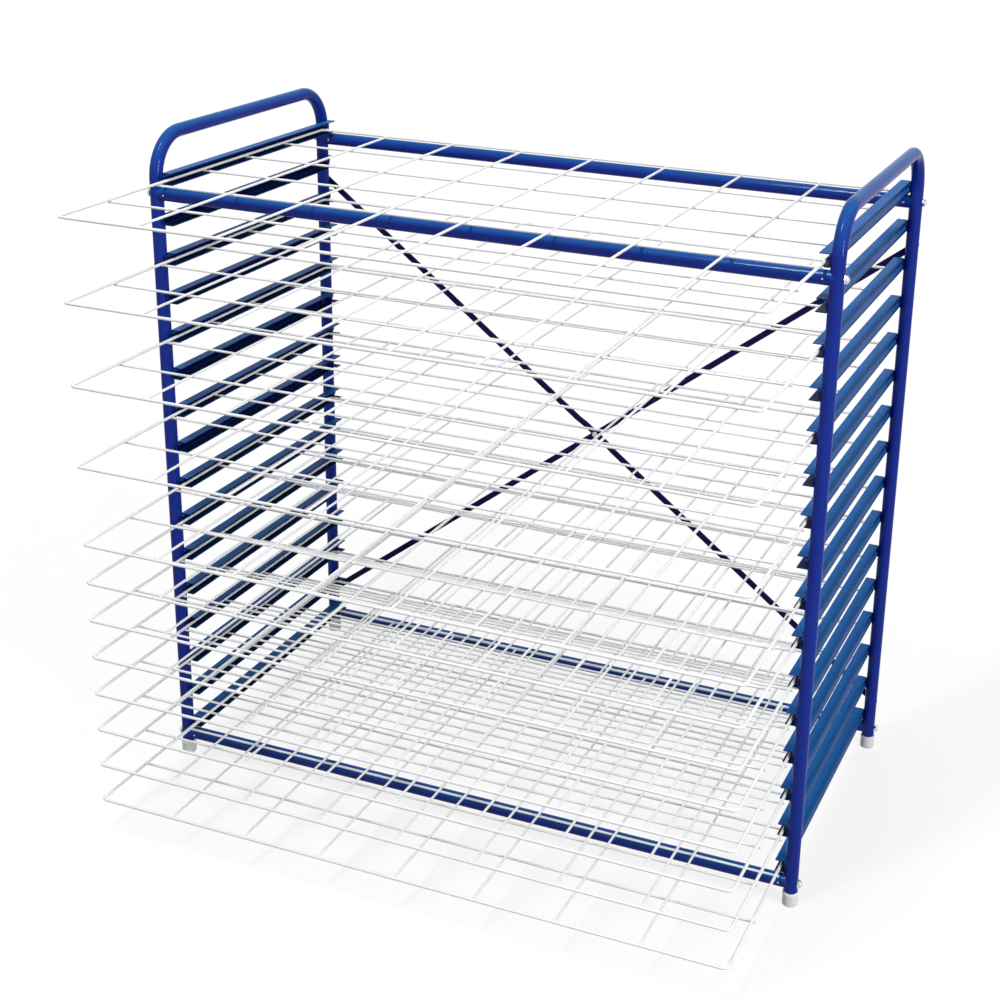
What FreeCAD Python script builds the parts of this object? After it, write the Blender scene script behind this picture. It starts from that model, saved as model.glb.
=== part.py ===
"""Art drying rack: two bent-tube end frames joined by crossbars and an X brace, with sixteen
folded runners on each side that carry sliding wire shelves. Millimetres, +Z up, front towards -Y,
origin on the floor under the middle of the rack."""

import FreeCAD, Part

import os
import re

import Sketcher
from FreeCAD import Placement, Rotation, Vector

doc = FreeCAD.newDocument("ArtDryingRack")


# ---- sizes ----------------------------------------------------------------------------------

sheet = doc.addObject("Spreadsheet::Sheet", "sizes")

drivingSizes = {
    # end frames
    "tubeDiameter": 12.7,
    "tubeWall": 1.2,
    "legSpacing": 304.8,          # front leg axis to rear leg axis
    "handleRise": 40.0,           # top shelf plane up to the axis of the handle bar
    "bendRadius": 40.0,           # centreline of the two upper bends
    # shelves: a slot's height is the axis of the shelf's rim wire
    "slotPitch": 38.1,
    "lowestSlotHeight": 36.0,
    "slotCount": 16,
    "shelfWidth": 627.0,          # between the axes of the side wires
    "shelfDepth": 445.8,          # between the axes of the front and rear wires
    "shelfCorner": 5.0,
    "rimWire": 2.8,
    "meshWire": 2.3,
    "cellsAcross": 8,
    "cellsDeep": 6,
    "wireOverrun": 1.0,           # how far a cross wire ends past the side wire
    # runners
    "runnerSheet": 0.9,
    "runnerHeight": 12.0,
    "runnerFlange": 10.0,
    "runnerOverrun": 0.5,         # runner length past each leg axis
    "foldRadius": 1.5,            # outside of the two folds
    "beadDepth": 1.6,
    "beadTop": 2.6,               # bead lines, down from the top of the runner
    "beadValley": 4.4,
    "beadBottom": 8.8,
    "tabHeight": 7.2,             # stop tab above the bottom flange
    "tabClearance": 2.0,          # between the tab and the web
    "sidePlay": 1.85,             # between a cross wire's end and the runner
    "runningGap": 0.3,            # under the shelf and in front of the stop tab
    "shelfSetback": 18.5,         # rear wire axis in front of the rear leg axis
    # crossbars and their fasteners
    "crossbarDiameter": 12.7,
    "crossbarWall": 1.2,
    "crossbarDrop": 13.0,         # crossbar axis below its shelf plane
    "insertLength": 16.0,
    "insertFit": 0.1,             # on the diameter
    "crimpInset": 4.6,            # outer crimp from the leg
    "crimpSpacing": 6.1,          # from the outer crimp to the inner one
    "crimpDepth": 0.6,
    "crimpRadius": 3.0,
    "boltDiameter": 4.0,
    "boltFit": 0.2,               # on the diameter of the bolt holes
    "nutFlats": 7.0,
    "nutHeight": 2.2,
    "nutDome": 3.2,               # radius at the foot of the dome
    "nutDomeTop": 1.6,            # radius of its flat top
    "nutDomeRise": 1.8,
    "nutDepth": 3.0,              # blind hole of the cap nut
    # X brace
    "braceWidth": 6.4,
    "braceThickness": 2.0,
    "braceTopDrop": 58.0,         # upper screws below the top shelf plane
    "braceFootRise": 52.5,        # lower screws above the floor
    "braceEnd": 6.0,              # bar past its screw
    "joggleFlat": 26.0,           # raised length of the bar that passes over the other
    "joggleSlope": 14.0,
    "screwDiameter": 3.6,
    "screwFit": 0.2,              # on the diameter
    "screwLength": 7.0,
    "screwHead": 6.4,
    "screwHeadHeight": 2.0,
    "rivetHeadHeight": 1.5,
    # foot caps
    "footHeight": 14.0,
    "footFloor": 2.5,
    "footWall": 0.9,
    "footFit": 0.1,               # on the diameter of the bore
    "footEdge": 1.2,
}

derivedSizes = {
    "tubeRadius": "tubeDiameter / 2",
    "topSlotHeight": "lowestSlotHeight + (slotCount - 1) * slotPitch",
    "handleHeight": "topSlotHeight + handleRise",
    # across: the runners stand outside the shelf and the legs outside the runners
    "webInside": "shelfWidth / 2 + rimWire / 2 + wireOverrun + sidePlay",
    "webOutside": "webInside + runnerSheet",
    "legAcross": "webOutside + tubeRadius",
    # in depth: the origin lies half way from the front wire to the back of the brace's rivet
    "frontReach": "shelfSetback + shelfDepth + rimWire / 2",
    "rearReach": "tubeRadius + 2 * braceThickness + rivetHeadHeight",
    "rearLeg": "(frontReach - rearReach) / 2",
    "frontLeg": "rearLeg - legSpacing",
    "shelfRear": "rearLeg - shelfSetback",
    "shelfFront": "shelfRear - shelfDepth",
    # runner section, heights from the shelf plane
    "runnerBottom": "0 - rimWire / 2 - meshWire - runningGap - runnerSheet",
    "runnerTop": "runnerBottom + runnerHeight",
    "runnerLip": "webOutside - runnerFlange",
    "runnerFront": "frontLeg - runnerOverrun",
    "runnerLength": "legSpacing + 2 * runnerOverrun",
    # the rounded rear corner of a shelf comes to rest at the stop tab's edge by the lip
    "tabRoot": "webInside - tabClearance",
    "tabTop": "runnerBottom + runnerSheet + tabHeight",
    "cornerReach": "runnerLip - (shelfWidth / 2 - shelfCorner)",
    "tabFace": "shelfRear - shelfCorner + sqrt((shelfCorner + rimWire / 2) ^ 2 - cornerReach ^ 2)"
               " + runningGap",
    # crossbars
    "crossbarRadius": "crossbarDiameter / 2",
    "upperCrossbar": "topSlotHeight - crossbarDrop",
    "lowerCrossbar": "lowestSlotHeight - crossbarDrop",
    "boltHole": "(boltDiameter + boltFit) / 2",
    # brace
    "braceTop": "topSlotHeight - braceTopDrop",
    "braceRise": "braceTop - braceFootRise",
    "braceMiddle": "(braceTop + braceFootRise) / 2",
    "braceReach": "sqrt(4 * legAcross ^ 2 + braceRise ^ 2) / 2",
    "braceFace": "rearLeg + tubeRadius",
    "screwHole": "(screwDiameter + screwFit) / 2",
    # foot caps
    "footBore": "tubeRadius + footFit / 2",
    "footRadius": "footBore + footWall",
}

for row, (alias, value) in enumerate({**drivingSizes, **derivedSizes}.items(), 1):
    sheet.set("A%d" % row, alias)
    sheet.set("B%d" % row, str(value) if alias in drivingSizes else "=" + value)
    sheet.setAlias("B%d" % row, alias)
doc.recompute()


def named(text):
    """A formula in the sheet's words, as an expression that any object of the document reads."""
    return re.sub(
        "[a-zA-Z]+",
        lambda word: "sizes." + word[0] if word[0] in drivingSizes or word[0] in derivedSizes else word[0],
        text,
    )


def worth(text):
    return float(sheet.evalExpression(named(text)))


def bind(thing, formulas):
    for name, text in formulas.items():
        thing.setExpression(name, named(text))
    return thing


# ---- helpers for sketches and bodies --------------------------------------------------------

def newBody(name):
    return doc.addObject("PartDesign::Body", name)


def newSketch(body, plane, name, offset="0"):
    """A sketch on one of the body's origin planes, moved along its normal."""
    sketch = body.newObject("Sketcher::SketchObject", name)
    support = [each for each in body.Origin.OriginFeatures if each.Role == plane]
    sketch.AttachmentSupport = [(support[0], "")]
    sketch.MapMode = "FlatFace"
    bind(sketch, {"AttachmentOffset.Base.z": offset})
    return sketch


def pin(sketch, curve, end, across, up):
    """Holds a point of a curve at its distances from the sketch's origin."""
    for kind, text in (("DistanceX", across), ("DistanceY", up)):
        number = sketch.addConstraint(Sketcher.Constraint(kind, -1, 1, curve, end, worth(text)))
        sketch.setExpression("Constraints[%d]" % number, named(text))


def addCircle(sketch, across, up, radius):
    middle = Vector(worth(across), worth(up), 0)
    circle = sketch.addGeometry(Part.Circle(middle, Vector(0, 0, 1), worth(radius)))
    number = sketch.addConstraint(Sketcher.Constraint("Radius", circle, worth(radius)))
    sketch.setExpression("Constraints[%d]" % number, named(radius))
    pin(sketch, circle, 3, across, up)


def addPolygon(sketch, corners):
    places = [Vector(worth(across), worth(up), 0) for across, up in corners]
    first = sketch.GeometryCount
    for start, end in zip(places, places[1:] + places[:1]):
        sketch.addGeometry(Part.LineSegment(start, end))
    for index, (across, up) in enumerate(corners):
        line = first + index
        following = first + (index + 1) % len(corners)
        sketch.addConstraint(Sketcher.Constraint("Coincident", line, 2, following, 1))
        pin(sketch, line, 1, across, up)


def addBentLine(sketch, corners, radius, closed):
    """Straight runs joined by tangent arcs of one radius, drawn through the given corners, each
    pair of which lies along an axis of the sketch."""
    places = [Vector(worth(across), worth(up), 0) for across, up in corners]
    count = len(corners)
    bent = range(count) if closed else range(1, count - 1)
    bend = worth(radius)
    joints = {}
    for index in bent:
        corner = places[index]
        before = (places[index - 1] - corner).normalize() * bend
        after = (places[(index + 1) % count] - corner).normalize() * bend
        halfway = (before + after) * (1 - 2 ** -0.5)
        arc = sketch.addGeometry(Part.Arc(corner + before, corner + halfway, corner + after))
        startsHere = sketch.getPoint(arc, 1).distanceToPoint(corner + before) < bend / 10
        joints[index] = (arc, 1, 2) if startsHere else (arc, 2, 1)
        number = sketch.addConstraint(Sketcher.Constraint("Radius", arc, bend))
        sketch.setExpression("Constraints[%d]" % number, named(radius))
    runs = count if closed else count - 1
    for index in range(runs):
        following = (index + 1) % count
        start, end = places[index], places[following]
        along = (end - start).normalize() * bend
        start = start + along if index in joints else start
        end = end - along if following in joints else end
        line = sketch.addGeometry(Part.LineSegment(start, end))
        level = abs(along.x) > abs(along.y)
        sketch.addConstraint(Sketcher.Constraint("Horizontal" if level else "Vertical", line))
        kind, text = ("DistanceY", corners[index][1]) if level else ("DistanceX", corners[index][0])
        number = sketch.addConstraint(Sketcher.Constraint(kind, -1, 1, line, 1, worth(text)))
        sketch.setExpression("Constraints[%d]" % number, named(text))
        if index in joints:
            arc, unused, leaving = joints[index]
            sketch.addConstraint(Sketcher.Constraint("Tangent", line, 1, arc, leaving))
        else:
            freeEnd(sketch, line, 1, corners[index], level)
        if following in joints:
            arc, arriving, unused = joints[following]
            sketch.addConstraint(Sketcher.Constraint("Tangent", line, 2, arc, arriving))
        else:
            freeEnd(sketch, line, 2, corners[following], level)


def freeEnd(sketch, line, end, corner, level):
    kind, text = ("DistanceX", corner[0]) if level else ("DistanceY", corner[1])
    number = sketch.addConstraint(Sketcher.Constraint(kind, -1, 1, line, end, worth(text)))
    sketch.setExpression("Constraints[%d]" % number, named(text))


def addPad(body, sketch, name, length, reverse=False, bothWays=False):
    pad = body.newObject("PartDesign::Pad", name)
    pad.Profile = sketch
    pad.Reversed = reverse
    pad.Midplane = bothWays
    return bind(pad, {"Length": length})


def addPocket(body, sketch, name, length, reverse=False, bothWays=False):
    """Cuts a pocket and makes sure that it took material away."""
    doc.recompute()
    before = body.Shape.Volume
    pocket = body.newObject("PartDesign::Pocket", name)
    pocket.Profile = sketch
    pocket.Reversed = reverse
    pocket.Midplane = bothWays
    bind(pocket, {"Length": length})
    doc.recompute()
    if body.Shape.Volume > before - 0.01:
        raise RuntimeError(name + " cuts nothing")
    return pocket


def edgesWhere(feature, test):
    return ["Edge%d" % number for number, edge in enumerate(feature.Shape.Edges, 1) if test(edge)]


def runsAlong(edge, axis):
    step = edge.Vertexes[-1].Point - edge.Vertexes[0].Point
    return step.Length > 1e-6 and abs(abs(step.normalize().dot(axis)) - 1) < 1e-6


def dress(body, kind, name, feature, edges, amount):
    """A Fillet or Chamfer on the named edges."""
    trim = body.newObject("PartDesign::" + kind, name)
    trim.Base = (feature, edges)
    return bind(trim, {"Radius" if kind == "Fillet" else "Size": amount})


def place(thing, across="0", along="0", up="0"):
    return bind(thing, {
        ".Placement.Base.x": across,
        ".Placement.Base.y": along,
        ".Placement.Base.z": up,
    })


def turn(thing, axis, angle="90"):
    thing.Placement = Placement(Vector(), Rotation(Vector(*axis), worth(angle)))
    return thing


def group(name, pieces):
    """Copies of finished pieces as one object with a place of its own."""
    gathered = doc.addObject("Part::Compound", name)
    gathered.Links = pieces
    return gathered


def boolean(kind, name, base, tool):
    result = doc.addObject("Part::" + kind, name)
    result.Base = base
    result.Tool = tool
    return result


def cylinder(name, radius, length):
    return bind(doc.addObject("Part::Cylinder", name), {"Radius": radius, "Height": length})


X, Y, Z = (1, 0, 0), (0, 1, 0), (0, 0, 1)
nodes = []


def node(thing, label):
    thing.Label = label
    nodes.append(thing)
    return thing


# ---- end frames: one tube each, bent over the top into a carrying handle -------------------

def makeEndFrame(name, across):
    body = newBody(name)
    route = newSketch(body, "YZ_Plane", name + "Route")
    addBentLine(
        route,
        [("frontLeg", "footFloor"), ("frontLeg", "handleHeight"),
         ("rearLeg", "handleHeight"), ("rearLeg", "footFloor")],
        "bendRadius",
        closed=False,
    )
    section = newSketch(body, "XY_Plane", name + "Section", "footFloor")
    addCircle(section, "0", "frontLeg", "tubeRadius")
    addCircle(section, "0", "frontLeg", "tubeRadius - tubeWall")
    tube = body.newObject("PartDesign::AdditivePipe", name + "Tube")
    tube.Profile = section
    tube.Spine = (route, [])
    bolts = newSketch(body, "YZ_Plane", name + "BoltHoles")
    for leg in ("frontLeg", "rearLeg"):
        for height in ("upperCrossbar", "lowerCrossbar"):
            addCircle(bolts, leg, height, "boltHole")
    addPocket(body, bolts, name + "BoltPocket", "2 * tubeDiameter", bothWays=True)
    # screw holes of the brace, in the rear wall of the rear leg only
    screws = newSketch(body, "XZ_Plane", name + "ScrewHoles", "0 - rearLeg")
    addCircle(screws, "0", "braceTop", "screwHole")
    addCircle(screws, "0", "braceFootRise", "screwHole")
    addPocket(body, screws, name + "ScrewPocket", "tubeDiameter")
    return place(body, across=across)


for side, across in (("left", "0 - legAcross"), ("right", "legAcross")):
    node(makeEndFrame(side + "EndFrame", across), side + "_end_frame")


# ---- runners: folded channels, open towards the shelf --------------------------------------

def makeRunner():
    """The right-hand runner of a slot whose shelf plane is at height zero."""
    body = newBody("runnerRight")
    section = newSketch(body, "XZ_Plane", "runnerSection", "0 - runnerFront")
    inner = "webInside"
    outer = "webOutside"
    bead = [("", "runnerTop - beadTop"), (" - beadDepth", "runnerTop - beadValley"),
            ("", "runnerTop - beadBottom")]
    outside = [("runnerLip", "runnerTop"), (outer, "runnerTop")]
    outside += [(outer + depth, height) for depth, height in bead]
    outside += [(outer, "runnerBottom"), ("runnerLip", "runnerBottom")]
    inside = [("runnerLip", "runnerBottom + runnerSheet"), (inner, "runnerBottom + runnerSheet")]
    inside += [(inner + depth, height) for depth, height in reversed(bead)]
    inside += [(inner, "runnerTop - runnerSheet"), ("runnerLip", "runnerTop - runnerSheet")]
    addPolygon(section, outside + inside)
    channel = addPad(body, section, "runnerChannel", "runnerLength", reverse=True)
    doc.recompute()
    corner = worth(outer)
    heights = (worth("runnerTop"), worth("runnerBottom"))

    def isFold(edge):
        spot = edge.Vertexes[0].Point
        onCorner = abs(spot.x - corner) < 1e-4 and min(abs(spot.z - each) for each in heights) < 1e-4
        return onCorner and runsAlong(edge, Vector(0, 1, 0))

    dress(body, "Fillet", "runnerFolds", channel, edgesWhere(channel, isFold), "foldRadius")
    # the stop tab is turned up out of the bottom flange and leaves a notch behind it
    notch = newSketch(body, "XY_Plane", "runnerNotch", "runnerBottom")
    near, far = "tabFace + runnerSheet", "tabFace + runnerSheet + tabHeight"
    edge = "runnerLip - runnerSheet"
    addPolygon(notch, [(edge, near), ("tabRoot", near), ("tabRoot", far), (edge, far)])
    addPocket(body, notch, "runnerLance", "2 * runnerSheet", reverse=True)
    tab = newSketch(body, "XZ_Plane", "runnerTab", "0 - tabFace")
    addPolygon(tab, [("runnerLip", "runnerBottom"), ("tabRoot", "runnerBottom"),
                     ("tabRoot", "tabTop"), ("runnerLip", "tabTop")])
    addPad(body, tab, "runnerStop", "runnerSheet", reverse=True)
    return body


rightRunner = makeRunner()
leftRunner = doc.addObject("Part::Mirroring", "runnerLeft")
leftRunner.Source = rightRunner
leftRunner.Normal = Vector(*X)
slotCount = int(worth("slotCount"))


def slotHeight(slot):
    """Slot 1 is the top one."""
    return "lowestSlotHeight + (slotCount - %d) * slotPitch" % slot


for side, master in (("left", leftRunner), ("right", rightRunner)):
    for slot in range(1, slotCount + 1):
        runner = group("%sRunner%02d" % (side, slot), [master])
        node(place(runner, up=slotHeight(slot)), "%s_runner_%02d" % (side, slot))


# ---- shelves: a rounded rim wire on a mat of straight wires --------------------------------

def makeRim():
    """The rim wire, bent round at its corners and kept square in section so that the mats stay light."""
    body = newBody("shelfRim")
    outline = newSketch(body, "XY_Plane", "rimOutline")
    for sign in ("+", "-"):
        across = "shelfWidth / 2 %s rimWire / 2" % sign
        front = "shelfFront - (0 %s rimWire / 2)" % sign
        rear = "shelfRear %s rimWire / 2" % sign
        addBentLine(
            outline,
            [("0 - (%s)" % across, front), (across, front), (across, rear), ("0 - (%s)" % across, rear)],
            "shelfCorner %s rimWire / 2" % sign,
            closed=True,
        )
    addPad(body, outline, "rimRing", "rimWire", bothWays=True)
    return body


def makeWire(name, length, axis, across, along, up):
    wire = doc.addObject("Part::Prism", name)
    wire.Polygon = 8
    bind(wire, {"Circumradius": "meshWire / 2 / cos(22.5)", "Height": length})
    sideways = axis == "across"
    flatUp = Rotation(Vector(*Z), 22.5)
    lie = Rotation(Vector(*Y), 90) if sideways else Rotation(Vector(*X), -90)
    wire.Placement = Placement(Vector(), lie * flatUp)
    return place(wire, across, along, up)


def makeMat():
    """Left-to-right wires under the rim, front-to-back wires on top of them inside the rim."""
    wires = []
    halfLength = "shelfWidth / 2 + rimWire / 2 + wireOverrun"
    for count in range(1, int(worth("cellsDeep"))):
        wires.append(makeWire(
            "crossWire%d" % count, "2 * (%s)" % halfLength, "across", "0 - (%s)" % halfLength,
            "shelfFront + shelfDepth * %d / cellsDeep" % count, "0 - (rimWire + meshWire) / 2"))
    for count in range(1, int(worth("cellsAcross"))):
        wires.append(makeWire(
            "longWire%d" % count, "shelfDepth - rimWire", "along",
            "shelfWidth * (%d / cellsAcross - 0.5)" % count,
            "shelfFront + rimWire / 2", "(meshWire - rimWire) / 2"))
    return wires


shelfPieces = [makeRim()] + makeMat()
filledSlots = [1, 3, 5, 7] + list(range(9, slotCount + 1))

for slot in filledSlots:
    shelf = group("shelf%02d" % slot, shelfPieces)
    node(place(shelf, up=slotHeight(slot)), "shelf_%02d" % slot)


# ---- crossbars: coped to the legs, crimped onto threaded inserts ----------------------------

def makeCrossbarTube():
    """Centred on the origin, along X."""
    length = "2 * legAcross"
    outer = turn(cylinder("crossbarOuter", "crossbarRadius", length), Y)
    bore = turn(cylinder("crossbarBore", "crossbarRadius - crossbarWall", length), Y)
    place(outer, across="0 - legAcross")
    place(bore, across="0 - legAcross")
    cutters = [bore]
    for side, sign in (("Left", "0 - "), ("Right", "0 + ")):
        leg = cylinder("copeCutter" + side, "tubeRadius", "2 * crossbarDiameter")
        cutters.append(place(leg, across=sign + "legAcross", up="0 - crossbarDiameter"))
        for count in (0, 1):
            crimp = doc.addObject("Part::Sphere", "crimpCutter%s%d" % (side, count))
            bind(crimp, {"Radius": "crimpRadius"})
            place(
                crimp,
                across=sign + "(legAcross - tubeRadius - crimpInset - %d * crimpSpacing)" % count,
                along="0 - crossbarRadius - crimpRadius + crimpDepth",
            )
            cutters.append(crimp)
    return boolean("Cut", "crossbarTube", outer, group("crossbarCutters", cutters))


def makeInsert(side, sign):
    plug = turn(cylinder("insertPlug" + side, "crossbarRadius - crossbarWall - insertFit / 2",
                         "insertLength"), Y, sign + "90")
    hole = turn(cylinder("insertHole" + side, "boltHole", "insertLength"), Y, sign + "90")
    start = "0 %s (legAcross - tubeRadius - insertLength)" % sign
    place(plug, across=start)
    place(hole, across=start)
    return boolean("Cut", "insert" + side, plug, hole)


crossbarPieces = [makeCrossbarTube(), makeInsert("Left", "-"), makeInsert("Right", "+")]
bolts = []
nuts = []


def makeBolt():
    """A stud from the threaded insert through the leg, on the right-hand side."""
    stud = turn(cylinder("stud", "boltDiameter / 2", "insertLength + tubeDiameter + nutDepth - boltFit"), Y)
    return place(stud, across="legAcross - tubeRadius - insertLength")


def makeCapNut():
    """Hexagon with a low dome, on the right-hand side."""
    hexagon = doc.addObject("Part::Prism", "nutHexagon")
    hexagon.Polygon = 6
    bind(hexagon, {"Circumradius": "nutFlats / 2 / cos(30)", "Height": "nutHeight"})
    turn(hexagon, Y)
    place(hexagon, across="legAcross + tubeRadius")
    dome = doc.addObject("Part::Cone", "nutDomeCap")
    bind(dome, {"Radius1": "nutDome", "Radius2": "nutDomeTop", "Height": "nutDomeRise"})
    turn(dome, Y)
    place(dome, across="legAcross + tubeRadius + nutHeight")
    hole = turn(cylinder("nutHole", "boltHole", "nutDepth"), Y)
    place(hole, across="legAcross + tubeRadius")
    return boolean("Cut", "capNut", boolean("Fuse", "nutBlank", hexagon, dome), hole)


def bothSides(name, master):
    twin = doc.addObject("Part::Mirroring", name + "Left")
    twin.Source = master
    twin.Normal = Vector(*X)
    return [twin, master]


boltPair = bothSides("bolt", makeBolt())
nutPair = bothSides("nut", makeCapNut())
for level in ("upper", "lower"):
    for end in ("front", "rear"):
        spot = {"along": end + "Leg", "up": level + "Crossbar"}
        name = level + end.title()
        bar = group(name + "Bar", crossbarPieces)
        node(place(bar, **spot), "%s_%s_crossbar" % (level, end))
        bolts.append(place(group(name + "Bolts", boltPair), **spot))
        nuts.append(place(group(name + "Nuts", nutPair), **spot))

node(group("crossbarBolts", bolts), "crossbar_bolts")
node(group("capNuts", nuts), "cap_nuts")


# ---- X brace: two flat bars behind the rear legs, one joggled over the other ----------------

def makeBrace(name, joggled, lean):
    """A bar along X whose front face is at zero, centred on the crossing, then leaned over."""
    body = newBody(name)
    reach = "(braceReach + braceEnd)"
    profile = newSketch(body, "XY_Plane", name + "Profile")
    front = [("0 - " + reach, "0"), (reach, "0")]
    rear = [(reach, "braceThickness"), ("0 - " + reach, "braceThickness")]
    if joggled:
        flat = "joggleFlat / 2"
        foot = "(joggleFlat / 2 + joggleSlope)"
        front[1:1] = [("0 - " + foot, "0"), ("0 - " + flat, "braceThickness"),
                      (flat, "braceThickness"), (foot, "0")]
        rear[1:1] = [(foot, "braceThickness"), (flat, "2 * braceThickness"),
                     ("0 - " + flat, "2 * braceThickness"), ("0 - " + foot, "braceThickness")]
    addPolygon(profile, front + rear)
    bar = addPad(body, profile, name + "Bar", "braceWidth", bothWays=True)
    doc.recompute()
    end = worth(reach)

    def isEnd(edge):
        return abs(abs(edge.Vertexes[0].Point.x) - end) < 1e-4 and runsAlong(edge, Vector(0, 1, 0))

    dress(body, "Fillet", name + "Ends", bar, edgesWhere(bar, isEnd), "braceWidth * 0.48")
    holes = newSketch(body, "XZ_Plane", name + "Holes")
    for spot in ("0 - braceReach", "0", "braceReach"):
        addCircle(holes, spot, "0", "screwHole")
    addPocket(body, holes, name + "HolePocket", "4 * braceThickness", bothWays=True)
    turn(body, Y)
    bind(body, {"Placement.Rotation.Angle": lean + "atan(braceRise / (2 * legAcross))"})
    return place(body, along="braceFace", up="braceMiddle")


node(makeBrace("risingBrace", False, "-1 * "), "rising_brace")
node(makeBrace("fallingBrace", True, "1 * "), "falling_brace")


def makeScrew(name, across, up):
    """A pan-head screw through the end of a bar into the rear leg."""
    body = newBody(name)
    shank = newSketch(body, "XZ_Plane", name + "Shank", "0 - braceThickness")
    addCircle(shank, "0", "0", "screwDiameter / 2")
    addPad(body, shank, name + "ShankPad", "screwLength")
    head = newSketch(body, "XZ_Plane", name + "Head", "0 - braceThickness")
    addCircle(head, "0", "0", "screwHead / 2")
    cap = addPad(body, head, name + "HeadPad", "screwHeadHeight", reverse=True)
    doc.recompute()
    back = worth("braceThickness + screwHeadHeight")

    def isRim(edge):
        return edge.BoundBox.YLength < 1e-6 and abs(edge.BoundBox.YMax - back) < 1e-4

    dress(body, "Chamfer", name + "Bevel", cap, edgesWhere(cap, isRim), "screwHeadHeight * 0.4")
    return place(body, across=across, along="braceFace", up=up)


screws = []
for side, sign in (("Left", "0 - "), ("Right", "0 + ")):
    for level, height in (("Upper", "braceTop"), ("Lower", "braceFootRise")):
        screws.append(makeScrew("screw" + level + side, sign + "legAcross", height))
node(group("braceScrews", screws), "brace_screws")


def makeRivet():
    """Holds both bars where they cross: a shank with a domed head at each end."""
    body = newBody("rivet")
    outline = newSketch(body, "XY_Plane", "rivetOutline")
    bars = "2 * braceThickness"
    addPolygon(outline, [
        ("0", "0 - rivetHeadHeight"), ("screwHead / 4", "0 - rivetHeadHeight"),
        ("screwHead / 2", "0 - rivetHeadHeight / 3"), ("screwHead / 2", "0"),
        ("screwDiameter / 2", "0"), ("screwDiameter / 2", bars),
        ("screwHead / 2", bars), ("screwHead / 2", bars + " + rivetHeadHeight / 3"),
        ("screwHead / 4", bars + " + rivetHeadHeight"), ("0", bars + " + rivetHeadHeight"),
    ])
    spin = body.newObject("PartDesign::Revolution", "rivetTurned")
    spin.Profile = outline
    spin.ReferenceAxis = (outline, ["V_Axis"])
    spin.Angle = 360
    return place(body, along="braceFace", up="braceMiddle")


node(makeRivet(), "brace_rivet")


# ---- foot caps ------------------------------------------------------------------------------

def makeFootCap():
    body = newBody("footCap")
    outside = newSketch(body, "XY_Plane", "footOutside")
    addCircle(outside, "0", "0", "footRadius")
    block = addPad(body, outside, "footBlock", "footHeight")
    doc.recompute()

    def isFloorEdge(edge):
        return edge.BoundBox.ZMax < 1e-6

    dress(body, "Chamfer", "footBevel", block, edgesWhere(block, isFloorEdge), "footEdge")
    bore = newSketch(body, "XY_Plane", "footBoreSketch", "footHeight")
    addCircle(bore, "0", "0", "footBore")
    addPocket(body, bore, "footBorePocket", "footHeight - footFloor")
    return body


footCap = makeFootCap()
for side, sign in (("left", "0 - "), ("right", "0 + ")):
    for end in ("front", "rear"):
        cap = group(side + end.title() + "Foot", [footCap])
        node(place(cap, across=sign + "legAcross", along=end + "Leg"), "%s_%s_foot_cap" % (side, end))


# ---- check and write ------------------------------------------------------------------------

doc.recompute()
for thing in doc.Objects:
    if {"Invalid", "Error"} & set(thing.State):
        raise RuntimeError("%s could not be computed: %s" % (thing.Name, thing.State))
for thing in nodes:
    if thing.Shape.isNull() or not thing.Shape.isValid() or not thing.Shape.Solids:
        raise RuntimeError(thing.Label + " is not a valid solid")

os.makedirs("parts", exist_ok=True)
for thing in nodes:
    thing.Shape.exportStep("parts/%s.step" % thing.Label)
print("%d nodes, overall %s" % (len(nodes), Part.makeCompound([each.Shape for each in nodes]).BoundBox))
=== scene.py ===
import math

import bmesh
import bpy
from mathutils import Matrix, Vector


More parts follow.
